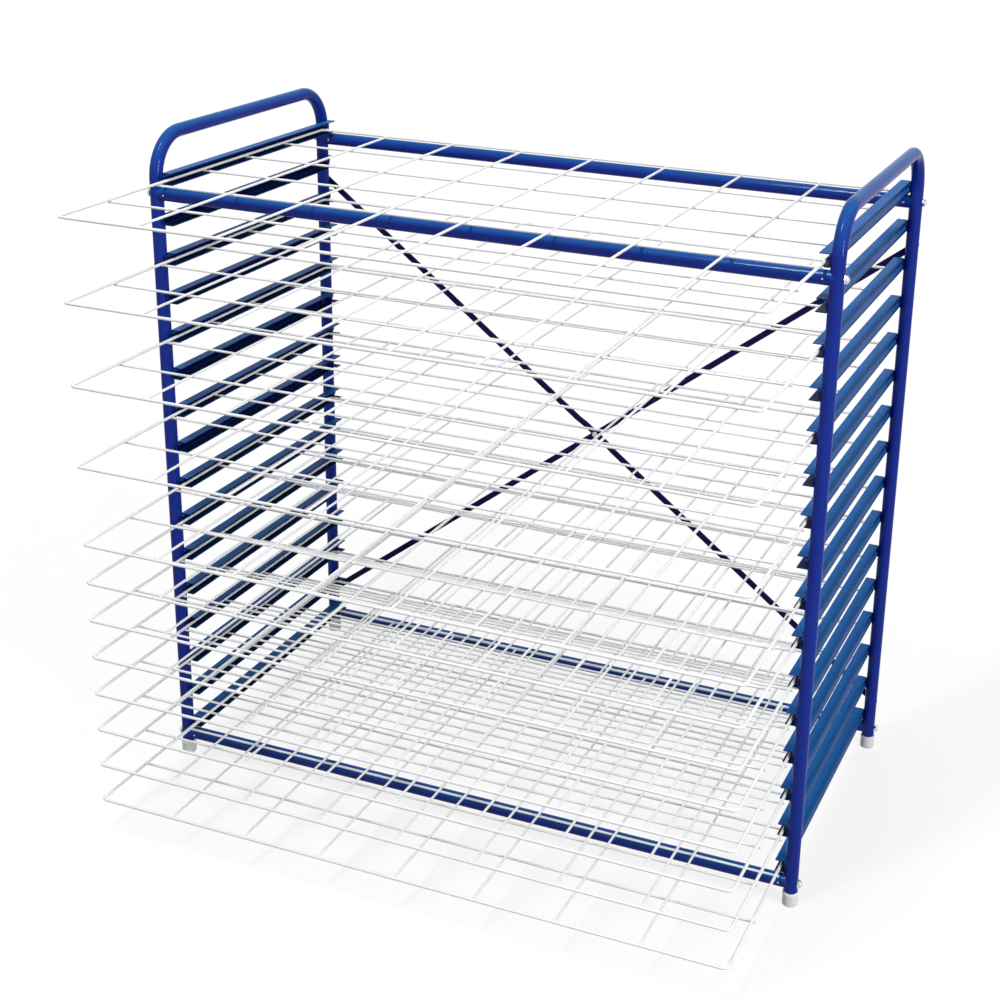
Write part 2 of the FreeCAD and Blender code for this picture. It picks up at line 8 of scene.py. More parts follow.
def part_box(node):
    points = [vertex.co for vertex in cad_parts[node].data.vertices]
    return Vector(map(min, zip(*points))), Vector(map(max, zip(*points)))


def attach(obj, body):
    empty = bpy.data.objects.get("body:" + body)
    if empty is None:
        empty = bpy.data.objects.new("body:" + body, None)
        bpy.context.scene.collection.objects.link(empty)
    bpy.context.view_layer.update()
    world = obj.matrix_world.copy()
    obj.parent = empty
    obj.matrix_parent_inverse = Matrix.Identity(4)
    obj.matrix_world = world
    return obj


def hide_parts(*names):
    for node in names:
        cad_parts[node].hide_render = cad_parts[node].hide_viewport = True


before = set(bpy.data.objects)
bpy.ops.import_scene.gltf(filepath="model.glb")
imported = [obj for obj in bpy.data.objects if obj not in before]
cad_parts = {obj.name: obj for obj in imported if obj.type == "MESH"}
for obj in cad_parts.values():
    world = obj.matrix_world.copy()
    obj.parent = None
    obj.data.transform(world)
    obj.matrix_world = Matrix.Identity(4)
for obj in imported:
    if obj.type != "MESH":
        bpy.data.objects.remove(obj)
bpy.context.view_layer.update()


# Where things are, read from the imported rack; all lengths are metres.
def measureRack():
    legLow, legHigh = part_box("right_end_frame")
    radius = (legHigh.x - legLow.x) / 2
    topRunner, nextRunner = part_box("right_runner_01"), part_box("right_runner_02")
    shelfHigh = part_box("shelf_01")[1]
    screwLow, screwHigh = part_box("brace_screws")
    bars = {}
    for level in ("upper", "lower"):
        for end in ("front", "rear"):
            low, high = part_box("%s_%s_crossbar" % (level, end))
            bars[level, end] = Vector((0, (low.y + high.y) / 2, (low.z + high.z) / 2))
    return {
        "tubeRadius": radius,
        "legAcross": legLow.x + radius,
        "frontLeg": legLow.y + radius,
        "rearLeg": legHigh.y - radius,
        "tubeFoot": legLow.z,
        "handle": legHigh.z - radius,
        "runnerLow": topRunner[0],
        "runnerHigh": topRunner[1],
        "slotPitch": topRunner[1].z - nextRunner[1].z,
        "slotCount": sum(name.startswith("right_runner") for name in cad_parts),
        "shelfHigh": shelfHigh,
        "bars": bars,
        "screwLow": screwLow,
        "screwHigh": screwHigh,
        "braceFace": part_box("rising_brace")[0].y,
        "footTop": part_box("right_front_foot_cap")[1],
        "footLow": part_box("right_front_foot_cap")[0],
    }


rack = measureRack()
print("stage: frame measured")


# Helpers that write the node trees, of both kinds, and put an object into the scene.
def newTree(kind, name, inputs, outputs):
    tree = bpy.data.node_groups.new(name, kind)
    for direction, sockets in (("INPUT", inputs), ("OUTPUT", outputs)):
        for label, socketKind in sockets:
            tree.interface.new_socket(label, in_out=direction, socket_type="NodeSocket" + socketKind)
    return tree, tree.nodes.new("NodeGroupInput").outputs, tree.nodes.new("NodeGroupOutput").inputs


def addNode(tree, kind, inputs=None, **settings):
    made = tree.nodes.new(kind)
    for name, value in settings.items():
        setattr(made, name, value)
    for socket, value in (inputs or {}).items():
        if isinstance(value, bpy.types.NodeSocket):
            tree.links.new(value, made.inputs[socket])
        else:
            made.inputs[socket].default_value = value
    return made.outputs


def addMath(tree, operation, first, second=0.0):
    return addNode(tree, "ShaderNodeMath", {0: first, 1: second}, operation=operation)[0]


def addVector(tree, across=0.0, along=0.0, up=0.0):
    return addNode(tree, "ShaderNodeCombineXYZ", {0: across, 1: along, 2: up})[0]


def addRange(tree, value, fromLow, fromHigh, toLow, toHigh):
    sockets = {0: value, 1: fromLow, 2: fromHigh, 3: toLow, 4: toHigh}
    return addNode(tree, "ShaderNodeMapRange", sockets)[0]


def mixColours(tree, share, first, second):
    return addNode(tree, "ShaderNodeMix", {0: share, 6: first, 7: second}, data_type="RGBA")[2]


def addObject(name, data):
    made = bpy.data.objects.new(name, data)
    bpy.context.scene.collection.objects.link(made)
    return made


# Paint, plastic and plate share one grain: slow colour drift, fine ripple and paler upward faces, a painted
# highlight.
# Faces that carry the painted shade mark turn dark: painted shade in the channels, on the runners' outer
# webs and on the weld beads.
coatRange = {"driftDetail": 3.0, "driftLow": 0.3, "driftHigh": 0.7, "grainDetail": 2.0, "grainLow": 0.2,
             "grainHigh": 0.8, "speckle": 0.75, "highlightStart": 0.1, "bumpDepth": 0.0002}


def makeCoatGroup():
    tree, given, result = newTree(
        "ShaderNodeTree", "grainAndPaintedLight",
        [("Colour", "Color"), ("Deep Colour", "Color"), ("Drift Size", "Float"), ("Grain Size", "Float"),
         ("Ripple", "Float"), ("Gloss Low", "Float"), ("Gloss High", "Float"), ("Painted Highlight Colour", "Color"),
         ("Painted Highlight", "Float"), ("Painted Highlight Slope", "Float"), ("Painted Shade Colour", "Color"),
         ("Painted Shade Share", "Float")],
        [("Colour", "Color"), ("Roughness", "Float"), ("Normal", "Vector")],
    )
    spot = addNode(tree, "ShaderNodeTexCoord")["Object"]
    drift = addNode(tree, "ShaderNodeTexNoise",
                    {"Vector": spot, "Scale": given["Drift Size"],
                     "Detail": coatRange["driftDetail"]})["Fac"]
    grain = addNode(tree, "ShaderNodeTexNoise",
                    {"Vector": spot, "Scale": given["Grain Size"],
                     "Detail": coatRange["grainDetail"]})["Fac"]
    tone = mixColours(tree, drift, given["Colour"], given["Deep Colour"])
    normal = addNode(tree, "ShaderNodeNewGeometry")["Normal"]
    upward = addNode(tree, "ShaderNodeSeparateXYZ", {0: normal})["Z"]
    # Upward faces are mixed toward the highlight colour: a painted highlight, as if lit from above.
    facing = addRange(tree, upward, coatRange["highlightStart"], given["Painted Highlight Slope"], 0.0, 1.0)
    speckled = addRange(tree, grain, coatRange["grainLow"], coatRange["grainHigh"],
                        coatRange["speckle"], 1.0)
    paler = addMath(tree, "MULTIPLY", addMath(tree, "MULTIPLY", facing, speckled), given["Painted Highlight"])
    lifted = mixColours(tree, paler, tone, given["Painted Highlight Colour"])
    # Faces with the painted shade mark are mixed toward the shade colour: painted shade.
    paintedShade = addNode(tree, "ShaderNodeAttribute", attribute_name="paintedShade")["Fac"]
    paintedShadeMix = addMath(tree, "MULTIPLY", paintedShade, given["Painted Shade Share"])
    shadedTone = mixColours(tree, paintedShadeMix, lifted, given["Painted Shade Colour"])
    rough = addRange(tree, drift, coatRange["driftLow"], coatRange["driftHigh"], given["Gloss Low"],
                     given["Gloss High"])
    bump = addNode(tree, "ShaderNodeBump",
                   {"Height": grain, "Strength": given["Ripple"], "Distance": coatRange["bumpDepth"]})[0]
    tree.links.new(shadedTone, result["Colour"])
    tree.links.new(rough, result["Roughness"])
    tree.links.new(bump, result["Normal"])
    return tree


grainAndPaintedLight = makeCoatGroup()


def newMaterial(name, grain, shader):
    material = bpy.data.materials.new(name)
    material.use_nodes = True
    tree = material.node_tree
    principled = tree.nodes["Principled BSDF"]
    coat = tree.nodes.new("ShaderNodeGroup")
    coat.node_tree = grainAndPaintedLight
    for socket, value in grain.items():
        coat.inputs[socket].default_value = value
    for socket, value in shader.items():
        principled.inputs[socket].default_value = value
    tree.links.new(coat.outputs["Colour"], principled.inputs["Base Color"])
    tree.links.new(coat.outputs["Roughness"], principled.inputs["Roughness"])
    tree.links.new(coat.outputs["Normal"], principled.inputs["Normal"])
    return material


# Frame blue: azure painted highlight on upward faces, near-black painted shade on the weld beads.
blueEnamel = newMaterial(
    "blueEnamel",
    {"Colour": (0.007, 0.037, 0.320, 1), "Deep Colour": (0.010, 0.018, 0.240, 1), "Drift Size": 9.0,
     "Grain Size": 420.0, "Ripple": 0.04, "Gloss Low": 0.16, "Gloss High": 0.26,
     "Painted Highlight Colour": (0.009, 0.120, 0.340, 1), "Painted Highlight": 0.8, "Painted Highlight Slope": 1.0,
     "Painted Shade Colour": (0.002, 0.003, 0.030, 1), "Painted Shade Share": 0.85},
    {"Coat Weight": 0.12, "Coat Roughness": 0.05, "Specular IOR Level": 0.03},
)
# Runner paint: the frame's blue set darker as painted shade, with an azure painted highlight on upward
# faces
# and on the bead's lower face, and painted shade in the channels.
runnerEnamel = newMaterial(
    "runnerEnamel",
    {"Colour": (0.008, 0.021, 0.205, 1), "Deep Colour": (0.006, 0.011, 0.150, 1), "Drift Size": 22.0,
     "Grain Size": 500.0, "Ripple": 0.05, "Gloss Low": 0.26, "Gloss High": 0.40,
     "Painted Highlight Colour": (0.014, 0.135, 0.410, 1), "Painted Highlight": 0.95, "Painted Highlight Slope": 0.33,
     "Painted Shade Colour": (0.002, 0.004, 0.030, 1), "Painted Shade Share": 0.8},
    {"Coat Weight": 0.02, "Coat Roughness": 0.06, "Specular IOR Level": 0.02},
)
# Brace paint: the frame's blue set dark navy as painted shade, with a faint painted highlight on upward
# faces.
braceShadedEnamel = newMaterial(
    "braceShadedEnamel",
    {"Colour": (0.008, 0.008, 0.085, 1), "Deep Colour": (0.005, 0.005, 0.055, 1), "Drift Size": 12.0,
     "Grain Size": 480.0, "Ripple": 0.10, "Gloss Low": 0.22, "Gloss High": 0.36,
     "Painted Highlight Colour": (0.02, 0.03, 0.20, 1), "Painted Highlight": 0.3, "Painted Highlight Slope": 1.0},
    {"Coat Weight": 0.04, "Coat Roughness": 0.1, "Specular IOR Level": 0.04},
)
# White wires: upward faces take a slightly paler painted highlight.
whiteEnamel = newMaterial(
    "whiteEnamel",
    {"Colour": (0.93, 0.93, 0.935, 1), "Deep Colour": (0.87, 0.88, 0.89, 1), "Drift Size": 16.0,
     "Grain Size": 700.0, "Ripple": 0.14, "Gloss Low": 0.24, "Gloss High": 0.36,
     "Painted Highlight Colour": (0.95, 0.95, 0.95, 1), "Painted Highlight": 0.3, "Painted Highlight Slope": 1.0},
    {"Coat Weight": 0.2, "Coat Roughness": 0.12},
)
# Zinc: upward faces take a slightly paler painted highlight.
brightZinc = newMaterial(
    "brightZinc",
    {"Colour": (0.66, 0.67, 0.68, 1), "Deep Colour": (0.52, 0.53, 0.56, 1), "Drift Size": 260.0,
     "Grain Size": 2600.0, "Ripple": 0.10, "Gloss Low": 0.12, "Gloss High": 0.26,
     "Painted Highlight Colour": (0.70, 0.71, 0.73, 1), "Painted Highlight": 0.2, "Painted Highlight Slope": 1.0},
    {"Metallic": 1.0},
)
# Nylon: upward faces take a painted highlight colour.
greyNylon = newMaterial(
    "greyNylon",
    {"Colour": (0.93, 0.935, 0.94, 1), "Deep Colour": (0.87, 0.88, 0.89, 1), "Drift Size": 60.0,
     "Grain Size": 1500.0, "Ripple": 0.14, "Gloss Low": 0.34, "Gloss High": 0.48,
     "Painted Highlight Colour": (0.90, 0.91, 0.93, 1), "Painted Highlight": 0.4, "Painted Highlight Slope": 1.0},
    {"Subsurface Weight": 0.12, "Subsurface Scale": 0.002},
)
print("stage: finishes mixed")


# Paths with rounded corners, and skins stretched over rings of points.
def roundPath(corners, radii, steps):
    path = [corners[0]]
    for before, corner, after, radius in zip(corners, corners[1:], corners[2:], radii):
        into, out = (corner - before).normalized(), (after - corner).normalized()
        half = into.angle(out) / 2
        centre = corner + (out - into).normalized() * radius / math.cos(half)
        start = corner - into * radius * math.tan(half) - centre
        end = corner + out * radius * math.tan(half) - centre
        path += [centre + start.slerp(end, step / steps).normalized() * radius for step in range(steps + 1)]
    return path + [corners[-1]]


def circlePoints(centre, sideways, upwards, radius, sides):
    turns = [2 * math.pi * side / sides for side in range(sides)]
    return [centre + (sideways * math.cos(turn) + upwards * math.sin(turn)) * radius for turn in turns]


def skinRings(name, rings, closeEnds=True):
    mesh = bmesh.new()
    loops = [[mesh.verts.new(point) for point in ring] for ring in rings]
    sides = len(rings[0])
    for near, far in zip(loops, loops[1:]):
        for side in range(sides):
            following = (side + 1) % sides
            mesh.faces.new((near[side], near[following], far[following], far[side]))
    if closeEnds:
        mesh.faces.new(loops[0])
        mesh.faces.new(loops[-1])
    return finishMesh(name, mesh)


def finishMesh(name, mesh):
    bmesh.ops.recalc_face_normals(mesh, faces=mesh.faces)
    data = bpy.data.meshes.new(name)
    mesh.to_mesh(data)
    mesh.free()
    return addObject(name, data)


def latheRings(profile, sides):
    x, y, z = Vector((1, 0, 0)), Vector((0, 1, 0)), Vector((0, 0, 1))
    return [circlePoints(z * height, x, y, radius, sides) for radius, height in profile]


def turnInto(piece, matrix):
    piece.data.transform(matrix)
    return piece


def bakeModifiers(piece):
    shaped = bpy.data.meshes.new_from_object(piece.evaluated_get(bpy.context.evaluated_depsgraph_get()))
    piece.modifiers.clear()
    piece.data = shaped
    return piece


def settle(piece, material, body, nodes, smoothAngle=35):
    for polygon in piece.data.polygons:
        polygon.use_smooth = True
    piece.data.set_sharp_from_angle(angle=math.radians(smoothAngle))
    piece.data.materials.clear()
    piece.data.materials.append(material)
    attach(piece, body)
    if nodes:
        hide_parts(*nodes)
    return piece


# A geometry tree is run on an empty mesh; its inputs are set by their sockets' identifiers.
def runTree(name, tree, values):
    holder = addObject(name, bpy.data.meshes.new(name))
    modifier = holder.modifiers.new("grow", "NODES")
    modifier.node_group = tree
    for item in tree.interface.items_tree:
        if item.in_out == "INPUT" and item.name in values:
            modifier[item.identifier] = values[item.name]
    return bakeModifiers(holder)


# Copies of one part, set on points that carry their own turn.
def makeRepeatTree():
    tree, given, result = newTree(
        "GeometryNodeTree", "setOnPoints",
        [("Part", "Object"), ("Places", "Object"), ("Finish", "Material")],
        [("Geometry", "Geometry")],
    )
    part = addNode(tree, "GeometryNodeObjectInfo", {"Object": given["Part"]})["Geometry"]
    places = addNode(tree, "GeometryNodeObjectInfo", {"Object": given["Places"]})["Geometry"]
    turn = addNode(tree, "GeometryNodeInputNamedAttribute", {"Name": "turn"}, data_type="FLOAT_VECTOR")[0]
    copies = addNode(tree, "GeometryNodeInstanceOnPoints",
                     {"Points": places, "Instance": part, "Rotation": turn})[0]
    solid = addNode(tree, "GeometryNodeRealizeInstances", {0: copies})[0]
    painted = addNode(tree, "GeometryNodeSetMaterial", {"Geometry": solid, "Material": given["Finish"]})[0]
    tree.links.new(painted, result[0])
    return tree


repeatTree = makeRepeatTree()


def repeatPart(name, part, places, material):
    points = bpy.data.meshes.new(name + "Places")
    points.from_pydata([place for place, turn in places], [], [])
    turns = points.attributes.new("turn", "FLOAT_VECTOR", "POINT")
    for index, (place, turn) in enumerate(places):
        turns.data[index].vector = turn
    holder = addObject(name + "Places", points)
    made = runTree(name, repeatTree, {"Part": part, "Places": holder, "Finish": material})
    for spent in (holder, part):
        bpy.data.objects.remove(spent)
    return made


# End frames: one bent tube each.
endFrame = {"bendRadius": 0.040, "sides": 56, "bendSteps": 22}


def makeEndFrame(side, sign):
    middle = sign * rack["legAcross"]
    front, rear, foot, handle = (rack[each] for each in ("frontLeg", "rearLeg", "tubeFoot", "handle"))
    spots = [(front, foot), (front, handle), (rear, handle), (rear, foot)]
    corners = [Vector((middle, along, up)) for along, up in spots]
    path = roundPath(corners, [endFrame["bendRadius"]] * 2, endFrame["bendSteps"])
    across = Vector((1, 0, 0))
    rings = []
    for index, point in enumerate(path):
        ahead = path[min(index + 1, len(path) - 1)] - path[max(index - 1, 0)]
        rings.append(circlePoints(point, across, ahead.normalized().cross(across), rack["tubeRadius"],
                                  endFrame["sides"]))
    frameTube = skinRings(side + "EndFrameTube", rings)
    settle(frameTube, blueEnamel, "rack", [side + "_end_frame"])


for side, sign in (("left", -1), ("right", 1)):
    makeEndFrame(side, sign)
print("stage: end frames bent")


# Runners: folded sheet with a V bead and a stop tab turned up out of the bottom flange.
runner = {
    "sheet": 0.0009, "foldRadius": 0.0015, "foldSteps": 6, "mitreLeast": 0.5, "edgeBevel": 0.00012,
    "edgeAngle": 60, "beadDepth": 0.0016, "beadTop": 0.0026, "beadValley": 0.0044, "beadBottom": 0.0088,
    "beadRadius": 0.0011, "tabHeight": 0.0072, "tabClearance": 0.002, "tabBend": 0.001,
    "inwardShadeSlant": 0.3, "shadeSlant": 0.3, "shadeRise": 0.2, "foldRise": 0.65, "outerShadeShare": 0.8,
    "shelfCorner": 0.005, "shelfGap": 0.0003, "rimWire": 0.0028, "wireOverrun": 0.001,
}


def stripOutline(path, half):
    near, far = [], []
    for index, point in enumerate(path):
        before = (point - path[index - 1]).normalized() if index else None
        after = (path[index + 1] - point).normalized() if index + 1 < len(path) else None
        along = ((before or after) + (after or before)).normalized()
        mitre = half / max(runner["mitreLeast"], along.dot(after or before))
        side = Vector((-along.y, along.x)) * mitre
        near.append(point + side)
        far.append(point - side)
    return near, far


def extrudeStrip(name, path, half, lift):
    near, far = stripOutline(path, half)
    mesh = bmesh.new()
    ends = [[[mesh.verts.new(lift(point, end)) for point in line] for line in (near, far)]
            for end in (0, 1)]
    (nearStart, farStart), (nearEnd, farEnd) = ends
    last = len(path) - 1
    for index in range(last):
        following = index + 1
        for start, end in ((nearStart, nearEnd), (farStart, farEnd)):
            mesh.faces.new((start[index], start[following], end[following], end[index]))
        for line, other in ((nearStart, farStart), (nearEnd, farEnd)):
            mesh.faces.new((line[index], line[following], other[following], other[index]))
    for index in (0, last):
        mesh.faces.new((nearStart[index], nearEnd[index], farEnd[index], farStart[index]))
    return finishMesh(name, mesh)


# The rounded rear corner of a shelf comes to rest at the tab, just inside the lip.
def tabFace():
    shelfHalf = rack["shelfHigh"].x - runner["wireOverrun"] - runner["rimWire"] / 2
    reach = rack["runnerLow"].x - (shelfHalf - runner["shelfCorner"])
    rim = runner["shelfCorner"] + runner["rimWire"] / 2
    return rack["shelfHigh"].y - rim + math.sqrt(rim ** 2 - reach ** 2) + runner["shelfGap"]


def makeChannel(half, bottom, web):
    lip = rack["runnerLow"].x
    bend = runner["foldRadius"] - half
    corners = [
        (lip, -half), (web, -half), (web, -runner["beadTop"]),
        (web - runner["beadDepth"], -runner["beadValley"]), (web, -runner["beadBottom"]),
        (web, bottom + half), (lip, bottom + half),
    ]
    radii = [bend, runner["beadRadius"], runner["beadRadius"], runner["beadRadius"], bend]
    path = roundPath([Vector(corner) for corner in corners], radii, runner["foldSteps"])
    ends = (rack["runnerLow"].y, rack["runnerHigh"].y)
    return extrudeStrip("runnerChannel", path, half,
                        lambda point, end: Vector((point.x, ends[end], point.y)))


# Faces that look into the channel get painted shade, so that the paint on them is dark like the shade
# there. On the outer side the top fold, the web's upright strips and the bead's lower face get painted
# shade too, but less.
def markPaintedShade(part, core):
    marks = part.data.attributes.new("paintedShade", "FLOAT", "FACE")
    for polygon, mark in zip(part.data.polygons, marks.data):
        inward = core - polygon.center
        inward.y = 0
        # Inward faces get full painted shade; the outer fold and web get a lighter painted shade.
        rise = runner["foldRise"] if polygon.center.z > -runner["beadTop"] else runner["shadeRise"]
        shaded = polygon.normal.x > runner["shadeSlant"] and polygon.normal.z < rise
        mark.value = runner["outerShadeShare"] if shaded else 0.0
        if polygon.normal.dot(inward) > runner["inwardShadeSlant"] * inward.length:
            mark.value = 1.0


def makeRunnerPart():
    half = runner["sheet"] / 2
    bottom = rack["runnerLow"].z - rack["runnerHigh"].z
    lip, web = rack["runnerLow"].x, rack["runnerHigh"].x - half
    root = web - half - runner["tabClearance"]
    stand = tabFace() + half
    notchFront, notchRear = stand - runner["tabBend"], stand + half + runner["tabHeight"]
    channel = makeChannel(half, bottom, web)
    notch = bmesh.new()
    bmesh.ops.create_cube(notch, size=1.0)
    edge = lip - runner["sheet"]
    middle = Vector(((edge + root) / 2, (notchFront + notchRear) / 2, bottom + half))
    size = Vector((root - edge, notchRear - notchFront, 2 * runner["sheet"]))
    bmesh.ops.transform(notch, matrix=Matrix.Translation(middle) @ Matrix.Diagonal(size.to_4d()),
                        verts=notch.verts)
    cutter = finishMesh("runnerNotch", notch)
    cut = channel.modifiers.new("lance", "BOOLEAN")
    cut.object = cutter
    bakeModifiers(channel)
    tabTop = bottom + 2 * half + runner["tabHeight"]
    tabCorners = [(notchFront, bottom + half), (stand, bottom + half), (stand, tabTop)]
    tabPath = roundPath([Vector(corner) for corner in tabCorners], [runner["tabBend"]], runner["foldSteps"])
    tab = extrudeStrip("runnerTab", tabPath, half,
                       lambda point, end: Vector(((lip, root)[end], point.x, point.y)))
    joined = bmesh.new()
    for piece in (channel, tab):
        joined.from_mesh(piece.data)
    for spent in (channel, tab, cutter):
        bpy.data.objects.remove(spent)
    part = finishMesh("runnerPart", joined)
    soften = part.modifiers.new("softEdges", "BEVEL")
    soften.width, soften.segments = runner["edgeBevel"], 1
    soften.limit_method, soften.angle_limit = "ANGLE", math.radians(runner["edgeAngle"])
    bakeModifiers(part)
    markPaintedShade(part, Vector(((lip + web) / 2, 0, (bottom - half) / 2)))
    return part


def makeRunners():
    top = rack["runnerHigh"].z
    drops = [slot * rack["slotPitch"] for slot in range(rack["slotCount"])]
    places = [(Vector((0, 0, top - drop)), Vector()) for drop in drops]
    for side in ("right", "left"):
        part = makeRunnerPart()
        if side == "left":
            turnInto(part, Matrix.Diagonal((-1, 1, 1, 1)))
            part.data.flip_normals()
        made = repeatPart(side + "Runners", part, places, runnerEnamel)
        nodes = ["%s_runner_%02d" % (side, slot + 1) for slot in range(rack["slotCount"])]
        settle(made, runnerEnamel, "rack", nodes, smoothAngle=25)


makeRunners()
print("stage: runners folded")


# Weld beads in the wedges where the runners' webs touch the round legs; they carry painted shade, dark like
# the shade in the wedges.
weld = {"radius": 0.0011, "offset": 0.0031, "endInset": 0.0012, "ripples": 5, "rippleDepth": 0.22,
        "leastFull": 0.12, "endPower": 4, "wander": 0.00012, "wanderTurn": 9, "rings": 11, "sides": 7,
        "paintedShade": 0.8, "turnStep": 1.7}


def makeWeldPart():
    length = rack["runnerHigh"].z - rack["runnerLow"].z - 2 * weld["endInset"]
    rings = []
    for ring in range(weld["rings"]):
        share = ring / (weld["rings"] - 1)
        full = math.sqrt(max(weld["leastFull"], 1 - (2 * share - 1) ** weld["endPower"]))
        swell = 1 - weld["rippleDepth"] * (0.5 + 0.5 * math.cos(2 * math.pi * weld["ripples"] * share))
        lean = Vector((0, weld["wander"] * math.sin(weld["wanderTurn"] * share), (share - 0.5) * length))
        rings.append(circlePoints(lean, Vector((1, 0, 0)), Vector((0, 1, 0)), weld["radius"] * full * swell,
                                  weld["sides"]))
    part = skinRings("weldPart", rings)
    # The whole bead gets painted shade.
    marks = part.data.attributes.new("paintedShade", "FLOAT", "FACE")
    for mark in marks.data:
        mark.value = weld["paintedShade"]
    return part


def makeWeldBeads():
    touch = rack["legAcross"] - rack["tubeRadius"] + weld["offset"] ** 2 / 4 / rack["tubeRadius"]
    top = (rack["runnerLow"].z + rack["runnerHigh"].z) / 2
    places = []
    for sign in (-1, 1):
        for leg in (rack["frontLeg"], rack["rearLeg"]):
            for offset in (-weld["offset"], weld["offset"]):
                for slot in range(rack["slotCount"]):
                    spot = Vector((sign * touch, leg + offset, top - slot * rack["slotPitch"]))
                    places.append((spot, Vector((0, 0, len(places) * weld["turnStep"]))))
    beads = repeatPart("runnerWelds", makeWeldPart(), places, blueEnamel)
    settle(beads, blueEnamel, "rack", [], smoothAngle=60)


makeWeldBeads()
print("stage: runners welded")


# Shelves: a rim wire, a mat of straight wires and the weld nuggets where they cross.
shelf = {"rimWire": 0.0028, "meshWire": 0.0023, "corner": 0.005, "cellsAcross": 8, "cellsDeep": 6,
         "wireOverrun": 0.001, "weldOverlap": 0.0004, "sides": 14, "cornerSteps": 8, "nugget": 0.00085}


def makeShelfTree():
    tree, given, result = newTree(
        "GeometryNodeTree", "weldedWireShelf",
        [("Width", "Float"), ("Depth", "Float"), ("Corner", "Float"), ("Rim Wire", "Float"),
         ("Mesh Wire", "Float"), ("Cells Across", "Int"), ("Cells Deep", "Int"), ("Overrun", "Float"),
         ("Weld Overlap", "Float"), ("Sides", "Int"), ("Corner Steps", "Int"), ("Nugget", "Float"),
         ("Middle", "Vector"), ("Finish", "Material")],
        [("Geometry", "Geometry")],
    )
    width, depth, rimWire, meshWire = (given[each] for each in ("Width", "Depth", "Rim Wire", "Mesh Wire"))

    def drawWire(curve, wire, caps):
        section = addNode(tree, "GeometryNodeCurvePrimitiveCircle",
                          {"Resolution": given["Sides"], "Radius": addMath(tree, "MULTIPLY", wire, 0.5)})[0]
        return addNode(tree, "GeometryNodeCurveToMesh",
                       {"Curve": curve, "Profile Curve": section, "Fill Caps": caps})[0]

    def straight(reach, wire, sideways):
        ahead = addVector(tree, reach) if sideways else addVector(tree, 0.0, reach)
        back = addMath(tree, "MULTIPLY", reach, -1.0)
        behind = addVector(tree, back) if sideways else addVector(tree, 0.0, back)
        line = addNode(tree, "GeometryNodeCurvePrimitiveLine", {"Start": behind, "End": ahead})[0]
        return drawWire(line, wire, True)

    def copyOn(points, part):
        copies = addNode(tree, "GeometryNodeInstanceOnPoints", {"Points": points, "Instance": part})[0]
        return addNode(tree, "GeometryNodeRealizeInstances", {0: copies})[0]

    def grid(sizeX, sizeY, countX, countY, height):
        flat = addNode(tree, "GeometryNodeMeshGrid",
                       {"Size X": sizeX, "Size Y": sizeY, "Vertices X": countX, "Vertices Y": countY})[0]
        return addNode(tree, "GeometryNodeTransform",
                       {"Geometry": flat, "Translation": addVector(tree, 0.0, 0.0, height)})[0]

    cellX = addMath(tree, "DIVIDE", width, given["Cells Across"])
    cellY = addMath(tree, "DIVIDE", depth, given["Cells Deep"])
    innerX = addMath(tree, "SUBTRACT", width, addMath(tree, "MULTIPLY", cellX, 2.0))
    innerY = addMath(tree, "SUBTRACT", depth, addMath(tree, "MULTIPLY", cellY, 2.0))
    countX = addMath(tree, "SUBTRACT", given["Cells Across"], 1.0)
    countY = addMath(tree, "SUBTRACT", given["Cells Deep"], 1.0)
    under = addMath(tree, "MULTIPLY", addMath(tree, "ADD", rimWire, meshWire), -0.5)
    level = addMath(tree, "MULTIPLY", addMath(tree, "SUBTRACT", meshWire, rimWire), 0.5)
    touch = addMath(tree, "MULTIPLY", rimWire, -0.5)

    loop = addNode(tree, "GeometryNodeCurvePrimitiveQuadrilateral", {"Width": width, "Height": depth})[0]
    bent = addNode(tree, "GeometryNodeFilletCurve",
                   {"Curve": loop, "Radius": given["Corner"], "Count": given["Corner Steps"]},
                   mode="POLY")[0]
    rim = drawWire(bent, rimWire, False)
    halfWidth = addMath(tree, "ADD", addMath(tree, "MULTIPLY", addMath(tree, "ADD", width, rimWire), 0.5),
                        given["Overrun"])
    crossWire = straight(halfWidth, meshWire, True)
    halfDepth = addMath(tree, "MULTIPLY", addMath(tree, "SUBTRACT", depth, rimWire), 0.5)
    longWire = straight(addMath(tree, "ADD", halfDepth, given["Weld Overlap"]), meshWire, False)
    crossWires = copyOn(grid(0.0, innerY, 1, countY, under), crossWire)
    longWires = copyOn(grid(innerX, 0.0, countX, 1, level), longWire)
    ball = addNode(tree, "GeometryNodeMeshIcoSphere", {"Radius": given["Nugget"], "Subdivisions": 2})[0]
    nuggets = addNode(tree, "GeometryNodeJoinGeometry")
    for sizes in ((innerX, innerY, countX, countY, touch), (width, innerY, 2, countY, touch),
                  (innerX, addMath(tree, "SUBTRACT", depth, rimWire), countX, 2, level)):
        tree.links.new(copyOn(grid(*sizes), ball), nuggets[0].node.inputs[0])
    whole = addNode(tree, "GeometryNodeJoinGeometry")
    for part in (rim, crossWires, longWires, nuggets[0]):
        tree.links.new(part, whole[0].node.inputs[0])
    placed = addNode(tree, "GeometryNodeTransform",
                     {"Geometry": whole[0], "Translation": given["Middle"]})[0]
    painted = addNode(tree, "GeometryNodeSetMaterial", {"Geometry": placed, "Material": given["Finish"]})[0]
    tree.links.new(painted, result[0])
    return tree


